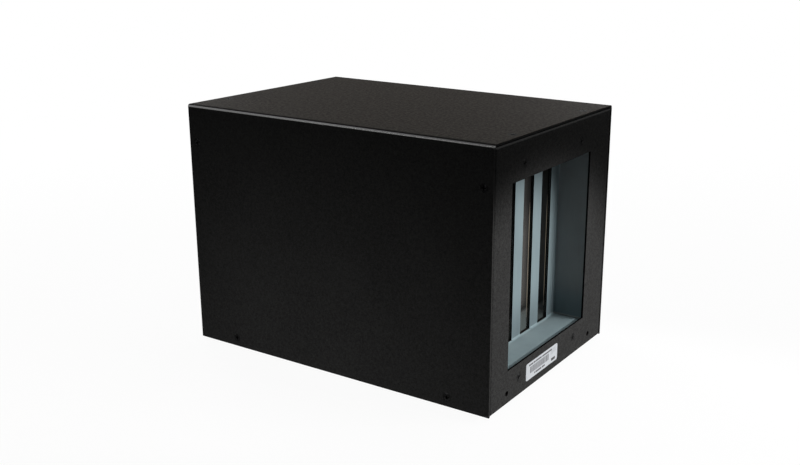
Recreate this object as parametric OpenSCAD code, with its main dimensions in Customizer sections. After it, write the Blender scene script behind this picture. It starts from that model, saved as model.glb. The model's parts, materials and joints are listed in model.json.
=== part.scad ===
// Expansion box for plug-in cards.
// A folded cover slides over a tray and two end panels. The front panel has a window onto a
// recessed slot bay, and the rear panel carries the fan, the switch and the sockets.
// Millimetres, +Z up, origin on the ground under the middle of the part, +X towards the slots.

/* [Box] */
// Length from end face to end face
body_l = 228; // [222:1:320]
// Width over the two long sides
body_w = 155; // [146:1:220]
// Height without the feet
body_h = 161; // [156:1:220]
// Sheet thickness of the cover
cover_t = 1.2; // [0.8:0.1:1.6]
// Sheet thickness of the end panels
panel_t = 1.2; // [0.8:0.1:1.6]
// Sheet thickness of the tray
tray_t = 1.2; // [0.8:0.1:1.6]
// Inside radius of the tightest folds in the cover, the panels and the tray
fold_in = 0.3; // [0.2:0.1:1.6]
// How far the panels' flanges reach in from the end faces
flange_d = 12; // [10:0.5:18]
// Height of the tray's upturned sides
tray_side_h = 12; // [10:0.5:20]
// Gap between the cover and the flanges inside it
slip = 0.15; // [0.1:0.05:0.4]
// Open slit between two folds at a corner
notch = 0.6; // [0.3:0.1:1.5]
// Gap between the tray's ends and the panels' folds
tray_gap = 0.3; // [0.2:0.1:1]

/* [Air slots in the tray] */
// Number of slots in each row
vent_count = 9; // [3:1:11]
// Distance from slot to slot
vent_pitch = 10; // [7:0.5:14]
// Width of a slot
vent_w = 4; // [2:0.5:6]
// Length of a slot
vent_l = 30; // [12:1:34]
// Distance between the middles of the two rows
vent_row_gap = 46; // [38:1:60]

/* [Feet] */
// Height of the box above the ground
foot_h = 3; // [2:0.5:8]
// Radius of a foot on the ground
foot_r = 6.5; // [4:0.5:10]
// Extra radius of a foot at its top
foot_flare = 1; // [0:0.25:2]
// Distance of the feet from the end faces
foot_inset_x = 28; // [22:1:45]
// Distance of the feet from the long sides
foot_inset_y = 20; // [14:1:30]

/* [Screws] */
// Thread radius of the screws
screw_r = 1.5; // [1.2:0.1:1.6]
// Radius of a countersunk head
head_r = 2.8; // [2.4:0.1:3.2]
// Depth of a countersunk head
head_h = 1.1; // [0.9:0.1:1.6]
// Length of a screw from its outer face
screw_l = 5; // [4:0.5:6]
// Depth of a blind hole beyond its screw's tip
tip_room = 1; // [0.5:0.1:2]
// Clearance round every screw
screw_gap = 0.05; // [0.03:0.01:0.1]
// Radius of a pan head
pan_r = 2.9; // [2.4:0.1:3.2]
// Height of a pan head
pan_h = 1.8; // [1.2:0.1:2.4]
// Length of the cross recess in a head
cross_l = 3; // [2:0.1:3.6]
// Width of the recess's arms
cross_w = 0.7; // [0.4:0.1:1]
// Depth of the recess
cross_d = 0.8; // [0.4:0.1:1]
// Distance of the end screws from the end faces
end_inset = 6.2; // [5:0.1:6.4]
// Distance of the upper side screws below the top
side_drop = 24.6; // [12:0.1:60]
// Height of the lower side screws above the box's bottom
low_z = 5.9; // [5:0.1:7.5]
// Distance of the lower side screws from the slot end
low_front = 28.8; // [20:0.2:60]
// Distance of the lower side screws from the rear end
low_rear = 32.4; // [20:0.2:60]
// Distance of the top screws from the long sides
top_inset = 31.1; // [16:0.1:50]
// Distance of the screws under the panels from the long sides
under_inset = 29.5; // [16:0.5:45]

/* [Window and slot bay] */
// Width of the window
window_w = 103.2; // [98:0.2:112]
// Distance of the window's upper edge below the top
window_drop = 25.7; // [24:0.1:30]
// Height of the window's lower edge above the box's bottom
window_z = 21.7; // [20.7:0.1:23]
// Offset of the window and the bay from the middle
bay_shift = -4.4; // [-8:0.2:4]
// Depth from the end face to the face of the slots
bay_depth = 21.9; // [18:0.1:25]
// Sheet thickness of the bay
bay_t = 1.2; // [0.8:0.1:1.4]
// Inside radius of the bay's folds
bay_r = 1.5; // [0.3:0.1:2]
// How far the bay stands clear of the window above and below
bay_lip_z = 1.4; // [0.5:0.1:2]
// How far the bay stands clear of the window at the sides
bay_lip_y = 0.4; // [0.2:0.1:1]
// Height of the flanges that hold the bay to the panel
bay_flange_h = 10; // [9:0.5:10.5]
// Gap in the seams between the bay's walls and shelves
bay_seam = 0.15; // [0.1:0.05:0.4]
// Distance from slot to slot
slot_pitch = 24.1; // [20.5:0.1:25]
// Offset of the slots from the bay's middle
slot_shift = -1.6; // [-2:0.1:2]
// Width of a slot
slot_w = 13; // [11:0.1:14]
// Distance of the slots' ends from the bay's shelves, within its folds
slot_end = 0.5; // [0.3:0.1:3]
// Distance between the bay's screws across
bay_screw_w = 74.6; // [50:0.2:90]
// Distance of the bay's screws above and below the window
bay_screw_out = 9.05; // [8:0.05:9.5]
// Distance of the two open holes at the foot of the panel from the long sides
corner_inset = 21.1; // [15:0.1:23]
// Height of the open holes above the box's bottom
corner_z = 7.2; // [5:0.1:7.2]
// Radius of the open holes
corner_r = 1.8; // [1:0.1:1.8]
// Width of the label
label_w = 42.4; // [20:0.2:60]
// Height of the label
label_h = 11.2; // [6:0.2:13]
// Thickness of the label
label_t = 0.15; // [0.1:0.05:0.3]
// Corner radius of the label
label_r = 1.5; // [0.5:0.1:3]
// Offset of the label from the middle
label_y = -11.4; // [-20:0.2:20]
// Height of the label's middle above the box's bottom
label_z = 11.3; // [8:0.1:12]

/* [Slot covers] */
// How far the slot covers' tongues reach below the bay's lower shelf
tongue_reach = 1.6; // [0:0.1:2.6]
// Width of a slot cover
bracket_w = 18.4; // [15:0.1:19.5]
// Sheet thickness of a slot cover
bracket_t = 0.9; // [0.7:0.05:1.2]
// Inside radius of the fold under the tab
bracket_r = 0.8; // [0.4:0.1:1]
// Depth of the tab from the cover's back
tab_d = 11.4; // [10:0.1:13]
// Distance of the tab's screw from the slot cover's face
tab_screw_d = 6; // [5:0.1:7]
// Clearance of the tab's notch round its screw
tab_gap = 0.15; // [0.1:0.05:0.4]
// Width of the tongue
tongue_w = 10.2; // [8:0.1:11]
// Length of the tongue with its shoulders
tongue_l = 7.3; // [6:0.1:9]

/* [Backplane] */
// Height of the board's top above the box's bottom
board_z = 24; // [20:0.5:26]
// Thickness of the board
board_t = 1.6; // [1:0.1:2.4]
// Width of the board
board_w = 116; // [108:1:120]
// Gap between the board and the parts at its ends
board_gap = 2; // [1:0.5:4]
// Distance of the standoffs from the board's edges
standoff_inset = 6; // [4.5:0.5:9]
// Corner radius of the hexagonal standoffs
standoff_r = 3.2; // [2.4:0.1:3.6]
// Distance from the slot covers to the card connectors
pci_x = 55; // [45:1:62]
// Length of a card connector
pci_l = 84.8; // [70:0.2:90]
// Width of a card connector
pci_w = 8.8; // [7:0.2:11]
// Height of a card connector
pci_h = 15; // [10:0.5:16]
// Wall at the ends of a card connector
pci_wall = 1.2; // [0.8:0.1:2]
// Width of the groove for a card
groove_w = 1.9; // [1.6:0.1:2.4]
// Depth of the groove for a card
groove_d = 10; // [6:0.5:11]
// Width of the key across the groove
key_w = 1.7; // [1:0.1:3]
// Distance of the key from the slot end of the connector
key_x = 70; // [20:0.5:75]
// Offset of a card from the middle of its slot
card_shift = -5.6; // [-7:0.1:-3]
// Side of the bridge chip
chip_w = 22; // [10:1:26]
// Height of the bridge chip
chip_h = 1.8; // [1:0.1:3]
// Radius of the capacitors
cap_r = 4; // [2.5:0.5:5]
// Height of the capacitors
cap_h = 11.5; // [6:0.5:14]
// Distance between the capacitors
cap_pitch = 12; // [11:0.5:16]
// Depth of the header for the fan's lead
header_d = 6; // [4:0.5:8]
// Width of the header
header_w = 10; // [7:0.5:14]
// Height of the header
header_h = 8; // [5:0.5:12]
// Wall of the header
header_wall = 0.8; // [0.5:0.1:1.2]

/* [Fan] */
// Side of the fan's frame
fan_size = 80; // [78:1:82]
// Depth of the fan
fan_d = 25; // [24:1:26]
// Distance of the fan's axis below the top
fan_drop = 63; // [57:1:67]
// Thread radius of the fan's screws
fan_screw_r = 2.1; // [1.5:0.05:2.3]
// Head radius of the fan's screws
fan_head_r = 3.6; // [3:0.1:4]
// Length of the fan's screws
fan_screw_l = 9; // [5:0.5:12]
// Distance between the fan's screw holes
fan_pitch = 71.5; // [70:0.1:72]
// Radius of the fan's duct
duct_r = 38.4; // [37:0.1:38.8]
// Wall of the duct between the frame's plates
duct_wall = 1.5; // [1:0.1:1.6]
// Thickness of the frame's two plates
plate_t = 4; // [3:0.5:6]
// Corner radius of the frame
fan_corner_r = 4; // [2:0.5:4.5]
// Radius of the disc that carries the motor
motor_r = 16; // [14:0.5:18]
// Thickness of that disc and its struts
strut_t = 3; // [2:0.25:3.5]
// Width of the struts
strut_w = 3.5; // [2:0.25:5]
// Outside radius of the bearing tube
tube_r = 3.6; // [3:0.1:4.5]
// Length of the bearing tube
tube_l = 13; // [10:0.5:14]
// Radius of the shaft
shaft_r = 1.5; // [1:0.1:2]
// Running clearance of the shaft
shaft_gap = 0.05; // [0.02:0.01:0.1]
// Outside radius of the rotor's cup
cup_r = 17; // [15:0.5:19]
// Wall of the cup
cup_wall = 1.4; // [1:0.1:2]
// Gap between the motor's disc and the cup
cup_gap = 1; // [0.5:0.1:2]
// Gap between the blades and the duct
tip_gap = 1; // [0.5:0.1:2]
// Number of blades
blade_count = 7; // [5:1:9]
// Thickness of a blade
blade_t = 1.4; // [1:0.1:2]
// Width of a blade along the rim
blade_w = 16; // [12:0.5:18]
// Camber radius of a blade
blade_r = 24; // [20:1:40]
// Number of rings of slots in the grille
grille_rings = 5; // [3:1:5]
// Width of a ring of slots
grille_slot = 3.6; // [2.5:0.1:3.8]
// Metal left between the rings
grille_land = 3; // [2:0.1:3.2]
// Radius of the solid middle of the grille
grille_hub = 8; // [5:0.5:9]
// Width of the grille's spokes
grille_spoke = 4; // [3:0.25:6]

/* [Switch, lamp and sockets] */
// How far the link socket stands out of the rear end
rear_proud = 3; // [2.8:0.1:5]
// Width of the link socket
link_w = 38; // [28:1:44]
// Height of the link socket
link_h = 10.6; // [9:0.2:12]
// Wall of the link socket's shell
link_wall = 0.8; // [0.6:0.1:1.2]
// Depth of the link socket inside the box
link_d = 14; // [10:1:20]
// Cut corners of the link socket
link_cut = 2.6; // [1:0.2:3]
// Length of the block at the back of the link socket
root_l = 5; // [3:0.5:7]
// Width of the contact blade in the link socket
contact_w = 25; // [16:1:25]
// Thickness of the contact blade
blade_h = 2.4; // [1.6:0.2:3]
// Distance of the link socket's middle from the long side
link_inset = 39.5; // [34:0.5:47]
// Width of the power inlet
jack_w = 9; // [8.8:0.2:11]
// Height of the power inlet
jack_h = 11; // [10:0.2:13]
// Depth of the power inlet behind the panel
jack_d = 13; // [11:0.5:16]
// Outside radius of the inlet's sleeve
sleeve_r = 4.2; // [3.9:0.1:4.4]
// Radius of the inlet's hole
jack_r = 3.15; // [2.8:0.05:3.3]
// Depth of the inlet's hole
jack_hole_d = 10; // [8:0.5:11]
// How far the inlet's sleeve stands out
sleeve_proud = 1; // [0.4:0.1:2]
// Radius of the inlet's pin
pin_r = 1; // [0.8:0.05:1.25]
// Clearance of the sockets in the panel
port_gap = 0.3; // [0.2:0.05:0.6]
// Radius of the lamp
led_r = 1.5; // [1:0.25:2.5]
// How far the lamp's collar reaches over the panel
led_collar = 0.75; // [0.5:0.25:1.5]
// Height of the switch and the lamp above the box's bottom
switch_z = 37; // [35:0.5:42]
// Distance of the switch's middle from the long side
switch_inset = 23.5; // [20:0.5:28]
// Distance from the switch to the lamp, and from the lamp to the power inlet
port_pitch = 24; // [20:0.5:26]
// Width of the switch's frame
bezel_w = 15; // [14.6:0.2:17]
// Height of the switch's frame
bezel_h = 21; // [20.6:0.2:24]
// How far the switch's frame stands out
bezel_t = 1.2; // [0.8:0.1:2]
// Lip of the frame over the panel
bezel_lip = 1; // [0.8:0.1:1.6]
// Wall of the switch's body at its sides
switch_wall = 1.2; // [1:0.1:1.6]
// Depth of the switch's body
switch_d = 14; // [12:0.5:18]
// Depth of the well for the rocker
well_d = 8; // [7:0.5:9]
// Gap between the rocker and its well
rocker_gap = 0.3; // [0.2:0.05:0.5]
// Depth of the rocker's pivot behind the end face
pivot_d = 2.8; // [2.4:0.1:3]
// Radius of the rocker's pivot pins
pivot_r = 1; // [0.8:0.1:1.2]
// Length of the rocker's pivot pins
pivot_l = 0.8; // [0.5:0.1:0.9]
// Running clearance of the pivot pins
pivot_gap = 0.05; // [0.02:0.01:0.1]
// Angle of each half of the rocker
rocker_a = 8; // [5:0.5:10]
// Width of the rocker's foot as a share of its face
rocker_foot = 0.6; // [0.5:0.05:0.7]
// Width of the switch's terminals
terminal_w = 4.8; // [3:0.1:6.3]
// Thickness of the terminals
terminal_t = 0.8; // [0.5:0.1:1]
// Length of the terminals
terminal_l = 7; // [4:0.5:9]

/* [Hidden] */
$fn = 64;
slot_count = 4;
past = 1;
lap = 0.05;

front_x = (body_l + rear_proud) / 2;
rear_x = front_x - body_l;
mid_x = (front_x + rear_x) / 2;
floor_z = foot_h;
top_z = floor_z + body_h;
fold_r = fold_in + max(cover_t, panel_t, tray_t);
inner_w = body_w - 2 * (cover_t + slip);
panel_h = body_h - cover_t - slip;
tray_z = floor_z + panel_t;
end_ways = [[front_x, -1], [rear_x, 1]];

bay_x = front_x - bay_depth;
flange_x = front_x - panel_t;
window_h = body_h - window_z - window_drop;
bay_out_r = bay_r + bay_t;
bay_half = window_w / 2 + bay_lip_y;
shelf_low = floor_z + window_z - bay_lip_z;
shelf_high = floor_z + window_z + window_h + bay_lip_z;
window_mid_z = floor_z + window_z + window_h / 2;

bracket_x = bay_x - bay_t;
tab_z = shelf_high + bay_t;
tip_z = shelf_low - tongue_reach;
bracket_l = tab_z + bracket_t - tip_z;

board_top = floor_z + board_z;
board_x0 = rear_x + panel_t + board_gap;
board_x1 = bracket_x - bracket_t - board_gap;
board_y = bay_shift + card_shift;
pci_x1 = bracket_x - bracket_t - pci_x;
chip_x = (rear_x + link_d + pci_x1 - pci_l) / 2;

fan_x = rear_x + panel_t;
fan_z0 = top_z - fan_drop;
rotor_r = duct_r - tip_gap;
cup_z = strut_t + cup_gap;
cup_l = fan_d - cup_z - cup_gap;

link_y = link_inset - body_w / 2;
switch_y = body_w / 2 - switch_inset;
led_y = switch_y - port_pitch;
jack_y = led_y - port_pitch;

well_w = bezel_w - 2 * (bezel_lip + switch_wall);
well_h = bezel_h - 2 * (bezel_lip + switch_wall);
rocker_top = pivot_d + bezel_t;
rocker_half = (well_h / 2 - rocker_gap - rocker_top * sin(rocker_a)) / cos(rocker_a);

function slot_y(i) = bay_shift + slot_shift + (i - (slot_count + 1) / 2) * slot_pitch;
function row(n, pitch) = [for (i = [0:n - 1]) (i - (n - 1) / 2) * pitch];

// Quarter of a sheet's fold, in the first quadrant round its centre, with short ends that lap the sheets.
module fold(r_in, t) {
    difference() {
        intersection() {
            circle(r_in + t);
            square(r_in + t);
        }
        circle(r_in);
    }
    translate([r_in, -lap]) square([t, lap]);
    translate([-lap, r_in]) square([lap, t]);
}

// Sections of the two flanges at the ends of a folded sheet: x runs in from the face, y along it.
module folded_edges(h, d, t) {
    for (end = [0, 1]) translate([0, end * h]) mirror([0, end]) {
        translate([fold_r, 0]) square([d - fold_r, t]);
        translate([fold_r, fold_r]) rotate(180) fold(fold_r - t, t);
    }
}

// Section of a sheet with a flange folded at each end.
module folded_channel(h, d, t) {
    translate([0, fold_r]) square([t, h - 2 * fold_r]);
    folded_edges(h, d, t);
}

// Rectangle with round corners.
module round_rect(w, h, r) {
    square([w - 2 * r, h], center = true);
    square([w, h - 2 * r], center = true);
    for (x = [-1, 1], y = [-1, 1]) {
        translate([x * (w / 2 - r), y * (h / 2 - r)]) circle(r);
    }
}

// Slot with round ends.
module long_hole(w, l) {
    square([w, l - w], center = true);
    for (y = row(2, l - w)) translate([0, y]) circle(w / 2);
}

// Stretches a section that lies in Y and Z along X.
module along_x(l) {
    rotate([90, 0, 90]) linear_extrude(l) children();
}

// Stretches a section that lies in X and Z along Y, to both sides.
module across_y(w) {
    rotate([90, 0, 0]) linear_extrude(w, center = true) children();
}

// Cross recess, cut down from the top of a head.
module cross_recess() {
    for (a = [0, 90]) {
        rotate(a) translate([0, 0, -cross_d / 2]) cube([cross_l, cross_w, cross_d], center = true);
    }
}

// Outline of a countersunk screw with its outer face at z = 0, grown by a gap and run out past the face.
module countersunk_outline(gap, out) {
    spread = (head_r - screw_r) / head_h;
    translate([0, 0, -head_h])
        cylinder(h = head_h + out, r1 = screw_r + gap, r2 = head_r + gap + out * spread);
    translate([0, 0, -screw_l - gap]) cylinder(h = screw_l - head_h + gap, r = screw_r + gap);
}

module countersunk_hole() {
    countersunk_outline(screw_gap, past);
}

module countersunk_screw() {
    difference() {
        countersunk_outline(0, 0);
        cross_recess();
    }
}

// Pan-head screw that bears on z = 0 and reaches down from it.
module pan_screw(l, r = screw_r, head = pan_r) {
    difference() {
        union() {
            cylinder(h = pan_h, r = head);
            translate([0, 0, -l]) cylinder(h = l, r = r);
        }
        translate([0, 0, pan_h]) cross_recess();
    }
}

// Puts its child at each cover screw, with z pointing out of the cover.
module cover_screw_places() {
    for (side = [-1, 1]) {
        for (end = end_ways) {
            translate([end[0] + end[1] * end_inset, side * body_w / 2, top_z - side_drop])
                rotate([-90 * side, 0, 0]) children();
        }
        for (x = [front_x - low_front, rear_x + low_rear]) {
            translate([x, side * body_w / 2, floor_z + low_z])
                rotate([-90 * side, 0, 0]) children();
        }
        for (end = end_ways) {
            translate([end[0] + end[1] * end_inset, side * (body_w / 2 - top_inset), top_z]) children();
        }
    }
}

// Puts its child at each screw under the panels, with z pointing down.
module panel_screw_places() {
    for (end = end_ways, y = row(2, body_w - 2 * under_inset)) {
        translate([end[0] + end[1] * (fold_r + flange_d) / 2, y, floor_z]) rotate([180, 0, 0]) children();
    }
}

// Puts its child at each screw of the slot bay, with z pointing out of the front panel.
module bay_screw_places() {
    for (y = row(2, bay_screw_w), z = row(2, window_h + 2 * bay_screw_out)) {
        translate([front_x, bay_shift + y, window_mid_z + z]) rotate([0, 90, 0]) children();
    }
}

// Puts its child at each slot cover's screw, on the bay's upper shelf.
module tab_screw_places() {
    for (i = [1:slot_count]) {
        translate([bracket_x + tab_screw_d, slot_y(i), tab_z]) children();
    }
}

// Puts its child on the board at each standoff.
module standoff_places() {
    rear_row = rear_x + max(flange_d, link_d) + standoff_inset;
    front_row = board_x1 - standoff_inset;
    for (x = [rear_row, (rear_row + front_row) / 2, front_row]) {
        for (y = row(2, board_w - 2 * standoff_inset)) {
            translate([x, board_y + y, board_top]) children();
        }
    }
}

// Puts its child at the fan, with z along the fan's axis into the box.
module at_fan() {
    translate([fan_x, 0, fan_z0]) rotate([0, 90, 0]) children();
}

// Puts its child at each of the fan's screw holes.
module fan_screw_places() {
    at_fan() for (x = row(2, fan_pitch), y = row(2, fan_pitch)) translate([x, y]) children();
}

// Puts its child at the switch, with x into the box from the end face.
module at_switch() {
    translate([rear_x, switch_y, floor_z + switch_z]) children();
}

// Puts its child at the power inlet, with z into the box from the end face.
module at_jack() {
    translate([rear_x, jack_y, board_top + jack_h / 2]) rotate([0, 90, 0]) children();
}

// Cover: the top and both long sides in one folded sheet.
module cover() {
    side_h = body_h - fold_r;
    color("#1b1b1c") difference() {
        translate([rear_x, 0, floor_z]) along_x(body_l) {
            for (side = [0, 1]) mirror([side, 0]) {
                translate([body_w / 2 - cover_t, 0]) square([cover_t, side_h]);
                translate([body_w / 2 - fold_r, side_h]) fold(fold_r - cover_t, cover_t);
            }
            translate([fold_r - body_w / 2, body_h - cover_t]) square([body_w - 2 * fold_r, cover_t]);
        }
        cover_screw_places() countersunk_hole();
    }
}

// End panel with flanges folded in all round, x running in from its face.
module panel_shell() {
    clear = fold_r + notch;
    across_y(inner_w - 2 * fold_r) folded_channel(panel_h, flange_d, panel_t);
    across_y(inner_w - 2 * (fold_r - cover_t)) folded_edges(panel_h, flange_d, panel_t);
    translate([0, -inner_w / 2, clear])
        linear_extrude(panel_h - 2 * clear) folded_channel(inner_w, flange_d, panel_t);
}

module front_panel() {
    color("#2a2a2b") difference() {
        translate([front_x, 0, floor_z]) mirror([1, 0, 0]) panel_shell();
        translate([flange_x - past, bay_shift - window_w / 2, floor_z + window_z])
            cube([panel_t + 2 * past, window_w, window_h]);
        for (y = row(2, body_w - 2 * corner_inset)) {
            translate([flange_x - past, y, floor_z + corner_z])
                rotate([0, 90, 0]) cylinder(h = panel_t + 2 * past, r = corner_r);
        }
        bay_screw_places() countersunk_hole();
        cover_screw_places() countersunk_hole();
        panel_screw_places() countersunk_hole();
    }
}

// Rings of curved slots with spokes left standing between them.
module grille_section() {
    difference() {
        for (i = [0:grille_rings - 1]) {
            r = grille_hub + i * (grille_slot + grille_land);
            difference() {
                circle(r + grille_slot);
                circle(r);
            }
        }
        for (a = [45, 135]) rotate(a) square([2 * duct_r + 2 * past, grille_spoke], center = true);
    }
}

module rear_panel() {
    through = panel_t + 2 * past;
    color("#2a2a2b") difference() {
        translate([rear_x, 0, floor_z]) panel_shell();
        at_fan() translate([0, 0, -panel_t - past]) linear_extrude(through) grille_section();
        fan_screw_places() translate([0, 0, -panel_t - past])
            cylinder(h = through, r = fan_screw_r + screw_gap);
        at_jack() translate([0, 0, -past]) cylinder(h = through, r = sleeve_r + port_gap);
        translate([rear_x - past, link_y, board_top]) along_x(through) link_section(-port_gap);
        at_switch() translate([-past, 0, 0]) along_x(through)
            square([bezel_w - 2 * bezel_lip, bezel_h - 2 * bezel_lip], center = true);
        translate([rear_x - past, led_y, floor_z + switch_z])
            rotate([0, 90, 0]) cylinder(h = through, r = led_r + screw_gap);
        cover_screw_places() countersunk_hole();
        panel_screw_places() countersunk_hole();
    }
}

// Tray: the floor, which lies on the panels' lower flanges, with two upturned sides.
module base_tray() {
    floor_l = body_l - 2 * (fold_r + tray_gap);
    side_l = body_l - 2 * (flange_d + notch);
    flat_w = inner_w - 2 * fold_r;
    color("#2a2a2b") difference() {
        union() {
            translate([mid_x - floor_l / 2, -flat_w / 2, tray_z]) cube([floor_l, flat_w, tray_t]);
            translate([mid_x - side_l / 2, 0, tray_z]) along_x(side_l)
                for (side = [0, 1]) mirror([side, 0]) {
                    translate([inner_w / 2 - tray_t, fold_r]) square([tray_t, tray_side_h - fold_r]);
                    translate([flat_w / 2, fold_r]) rotate(-90) fold(fold_r - tray_t, tray_t);
                }
        }
        for (x = row(vent_count, vent_pitch), y = row(2, vent_row_gap)) {
            translate([mid_x + x, y, tray_z - past])
                linear_extrude(tray_t + 2 * past) long_hole(vent_w, vent_l);
        }
        cover_screw_places() countersunk_hole();
        panel_screw_places() countersunk_hole();
    }
}

// Slot bay: flanges, shelves and slotted back plate are one strip, and the side walls fold off its back.
module slot_bay() {
    back_w = 2 * bay_half;
    full_w = 2 * (bay_half + bay_t);
    shelf_l = bay_depth - panel_t - bay_out_r - bay_r;
    back_h = shelf_high - shelf_low - 2 * bay_r;
    wall_h = shelf_high - shelf_low - 2 * bay_seam;
    wall_l = bay_depth - panel_t - bay_r - bay_seam;
    color("#a9bac0") difference() {
        union() {
            translate([0, bay_shift, 0]) for (way = [0, 1]) {
                translate([0, 0, window_mid_z]) mirror([0, 0, way]) translate([0, 0, -window_mid_z]) {
                    across_y(full_w) {
                        translate([flange_x - bay_t, shelf_low - bay_t - bay_flange_h])
                            square([bay_t, bay_flange_h - bay_r]);
                        translate([flange_x - bay_out_r, shelf_low - bay_out_r]) fold(bay_r, bay_t);
                        translate([bay_x + bay_r, shelf_low - bay_t]) square([shelf_l, bay_t]);
                    }
                    across_y(back_w) translate([bay_x + bay_r, shelf_low + bay_r])
                        rotate(180) fold(bay_r, bay_t);
                }
                mirror([0, way, 0]) {
                    translate([bay_x + bay_r, bay_half, shelf_low + bay_seam]) cube([wall_l, bay_t, wall_h]);
                    translate([bay_x + bay_r, bay_half - bay_r, shelf_low + bay_seam])
                        linear_extrude(wall_h) rotate(90) fold(bay_r, bay_t);
                }
            }
            translate([bay_x - bay_t, bay_shift - bay_half + bay_r, shelf_low + bay_r])
                cube([bay_t, 2 * (bay_half - bay_r), back_h]);
        }
        for (i = [1:slot_count]) {
            translate([bay_x - bay_t - past, slot_y(i) - slot_w / 2, shelf_low + slot_end])
                cube([bay_t + bay_r + past, slot_w, shelf_high - shelf_low - 2 * slot_end]);
        }
        tab_screw_places() translate([0, 0, -bay_t - past])
            cylinder(h = bay_t + 2 * past, r = screw_r + screw_gap);
        bay_screw_places() countersunk_hole();
    }
}

// Slot cover: a plate behind the slot, a tongue at its foot and a notched tab on the bay's upper shelf.
module slot_cover(i) {
    shoulder = (bracket_w - tongue_w) / 2;
    notch_r = screw_r + tab_gap;
    plate_top = bracket_l - bracket_t - bracket_r;
    half_plate = [
        [0, 0], [tongue_w / 2, 0], [tongue_w / 2, tongue_l - shoulder],
        [bracket_w / 2, tongue_l], [bracket_w / 2, plate_top], [0, plate_top]
    ];
    color("#b9b4aa") difference() {
        union() {
            translate([bracket_x - bracket_t, slot_y(i), tip_z]) along_x(bracket_t)
                for (side = [0, 1]) mirror([side, 0]) polygon(half_plate);
            translate([bracket_x, slot_y(i), tab_z]) across_y(bracket_w) {
                translate([bracket_r, -bracket_r]) rotate(90) fold(bracket_r, bracket_t);
                translate([bracket_r, 0]) square([tab_d - bracket_t - bracket_r, bracket_t]);
            }
        }
        translate([bracket_x + tab_screw_d, slot_y(i), tab_z - past]) {
            cylinder(h = bracket_t + 2 * past, r = notch_r);
            translate([0, -notch_r, 0]) cube([tab_d, 2 * notch_r, bracket_t + 2 * past]);
        }
    }
}

module slot_cover_screws() {
    color("silver") tab_screw_places() translate([0, 0, bracket_t]) pan_screw(bracket_t + bay_t);
}

module slot_bay_screws() {
    color("#202022") bay_screw_places() countersunk_screw();
}

module cover_screws() {
    color("#202022") cover_screw_places() countersunk_screw();
}

module panel_screws() {
    color("#202022") panel_screw_places() countersunk_screw();
}

// Rubber foot under the tray, numbered round the four corners.
module foot(i) {
    x = mid_x + (i <= 2 ? 1 : -1) * (body_l / 2 - foot_inset_x);
    y = (i % 2 == 0 ? 1 : -1) * (body_w / 2 - foot_inset_y);
    color("#141414") translate([x, y, 0]) cylinder(h = tray_z, r1 = foot_r, r2 = foot_r + foot_flare);
}

module label() {
    color("white") translate([front_x, label_y, floor_z + label_z]) along_x(label_t)
        round_rect(label_w, label_h, label_r);
}

// Backplane board on its standoffs.
module backplane_board() {
    color("#1f5b38") difference() {
        translate([board_x0, board_y - board_w / 2, board_top - board_t])
            cube([board_x1 - board_x0, board_w, board_t]);
        standoff_places() translate([0, 0, -board_t - past])
            cylinder(h = board_t + 2 * past, r = screw_r + screw_gap);
    }
}

module board_standoffs() {
    l = board_top - board_t - tray_z - tray_t;
    hole = screw_l + tip_room;
    color("#c9a64a") standoff_places() translate([0, 0, -board_t - l]) difference() {
        cylinder(h = l, r = standoff_r, $fn = 6);
        translate([0, 0, l - hole]) cylinder(h = hole + past, r = screw_r + screw_gap);
    }
}

module board_screws() {
    color("silver") standoff_places() pan_screw(screw_l);
}

// Card connector with its groove and key, the slot end towards +X.
module pci_slot(i) {
    color("#ece6d4") translate([pci_x1 - pci_l, slot_y(i) + card_shift - pci_w / 2, board_top]) difference() {
        cube([pci_l, pci_w, pci_h]);
        difference() {
            translate([pci_wall, (pci_w - groove_w) / 2, pci_h - groove_d])
                cube([pci_l - 2 * pci_wall, groove_w, groove_d + past]);
            translate([pci_l - key_x - key_w / 2, 0, 0]) cube([key_w, pci_w, pci_h]);
        }
    }
}

module bridge_chip() {
    color("#222222") translate([chip_x - chip_w / 2, board_y - chip_w / 2, board_top])
        cube([chip_w, chip_w, chip_h]);
}

module capacitors() {
    color("#3a3f55") for (x = row(2, cap_pitch), y = row(2, cap_pitch)) {
        translate([chip_x + x, board_y + board_w / 4 + y, board_top]) cylinder(h = cap_h, r = cap_r);
    }
}

// Three-pin header for the fan's lead.
module fan_header() {
    color("#ece6d4") translate([chip_x - header_d / 2, board_y - board_w / 4 - header_w / 2, board_top])
        difference() {
            cube([header_d, header_w, header_h]);
            translate([header_wall, header_wall, header_wall])
                cube([header_d, header_w - 2 * header_wall, header_h]);
        }
}

// Fan frame: two plates joined by a duct, and a motor disc on four struts behind the grille.
module fan_frame() {
    color("#18181a") at_fan() difference() {
        union() {
            difference() {
                union() {
                    for (z = [0, fan_d - plate_t]) {
                        translate([0, 0, z]) linear_extrude(plate_t)
                            round_rect(fan_size, fan_size, fan_corner_r);
                    }
                    cylinder(h = fan_d, r = duct_r + duct_wall);
                }
                translate([0, 0, -past]) cylinder(h = fan_d + 2 * past, r = duct_r);
            }
            for (a = [45, 135]) rotate(a) translate([0, 0, strut_t / 2])
                cube([2 * duct_r + duct_wall, strut_w, strut_t], center = true);
            cylinder(h = strut_t, r = motor_r);
            cylinder(h = strut_t + tube_l, r = tube_r);
        }
        translate([0, 0, strut_t / 2]) cylinder(h = fan_d, r = shaft_r + shaft_gap);
        for (x = row(2, fan_pitch), y = row(2, fan_pitch)) {
            translate([x, y, -past]) cylinder(h = fan_d + 2 * past, r = fan_screw_r + screw_gap);
        }
    }
}

module fan_stator() {
    color("#9a5a2c") at_fan() translate([0, 0, strut_t]) difference() {
        cylinder(h = tube_l - cup_gap, r = cup_r - cup_wall - cup_gap);
        translate([0, 0, -past]) cylinder(h = tube_l + past, r = tube_r + shaft_gap);
    }
}

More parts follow.
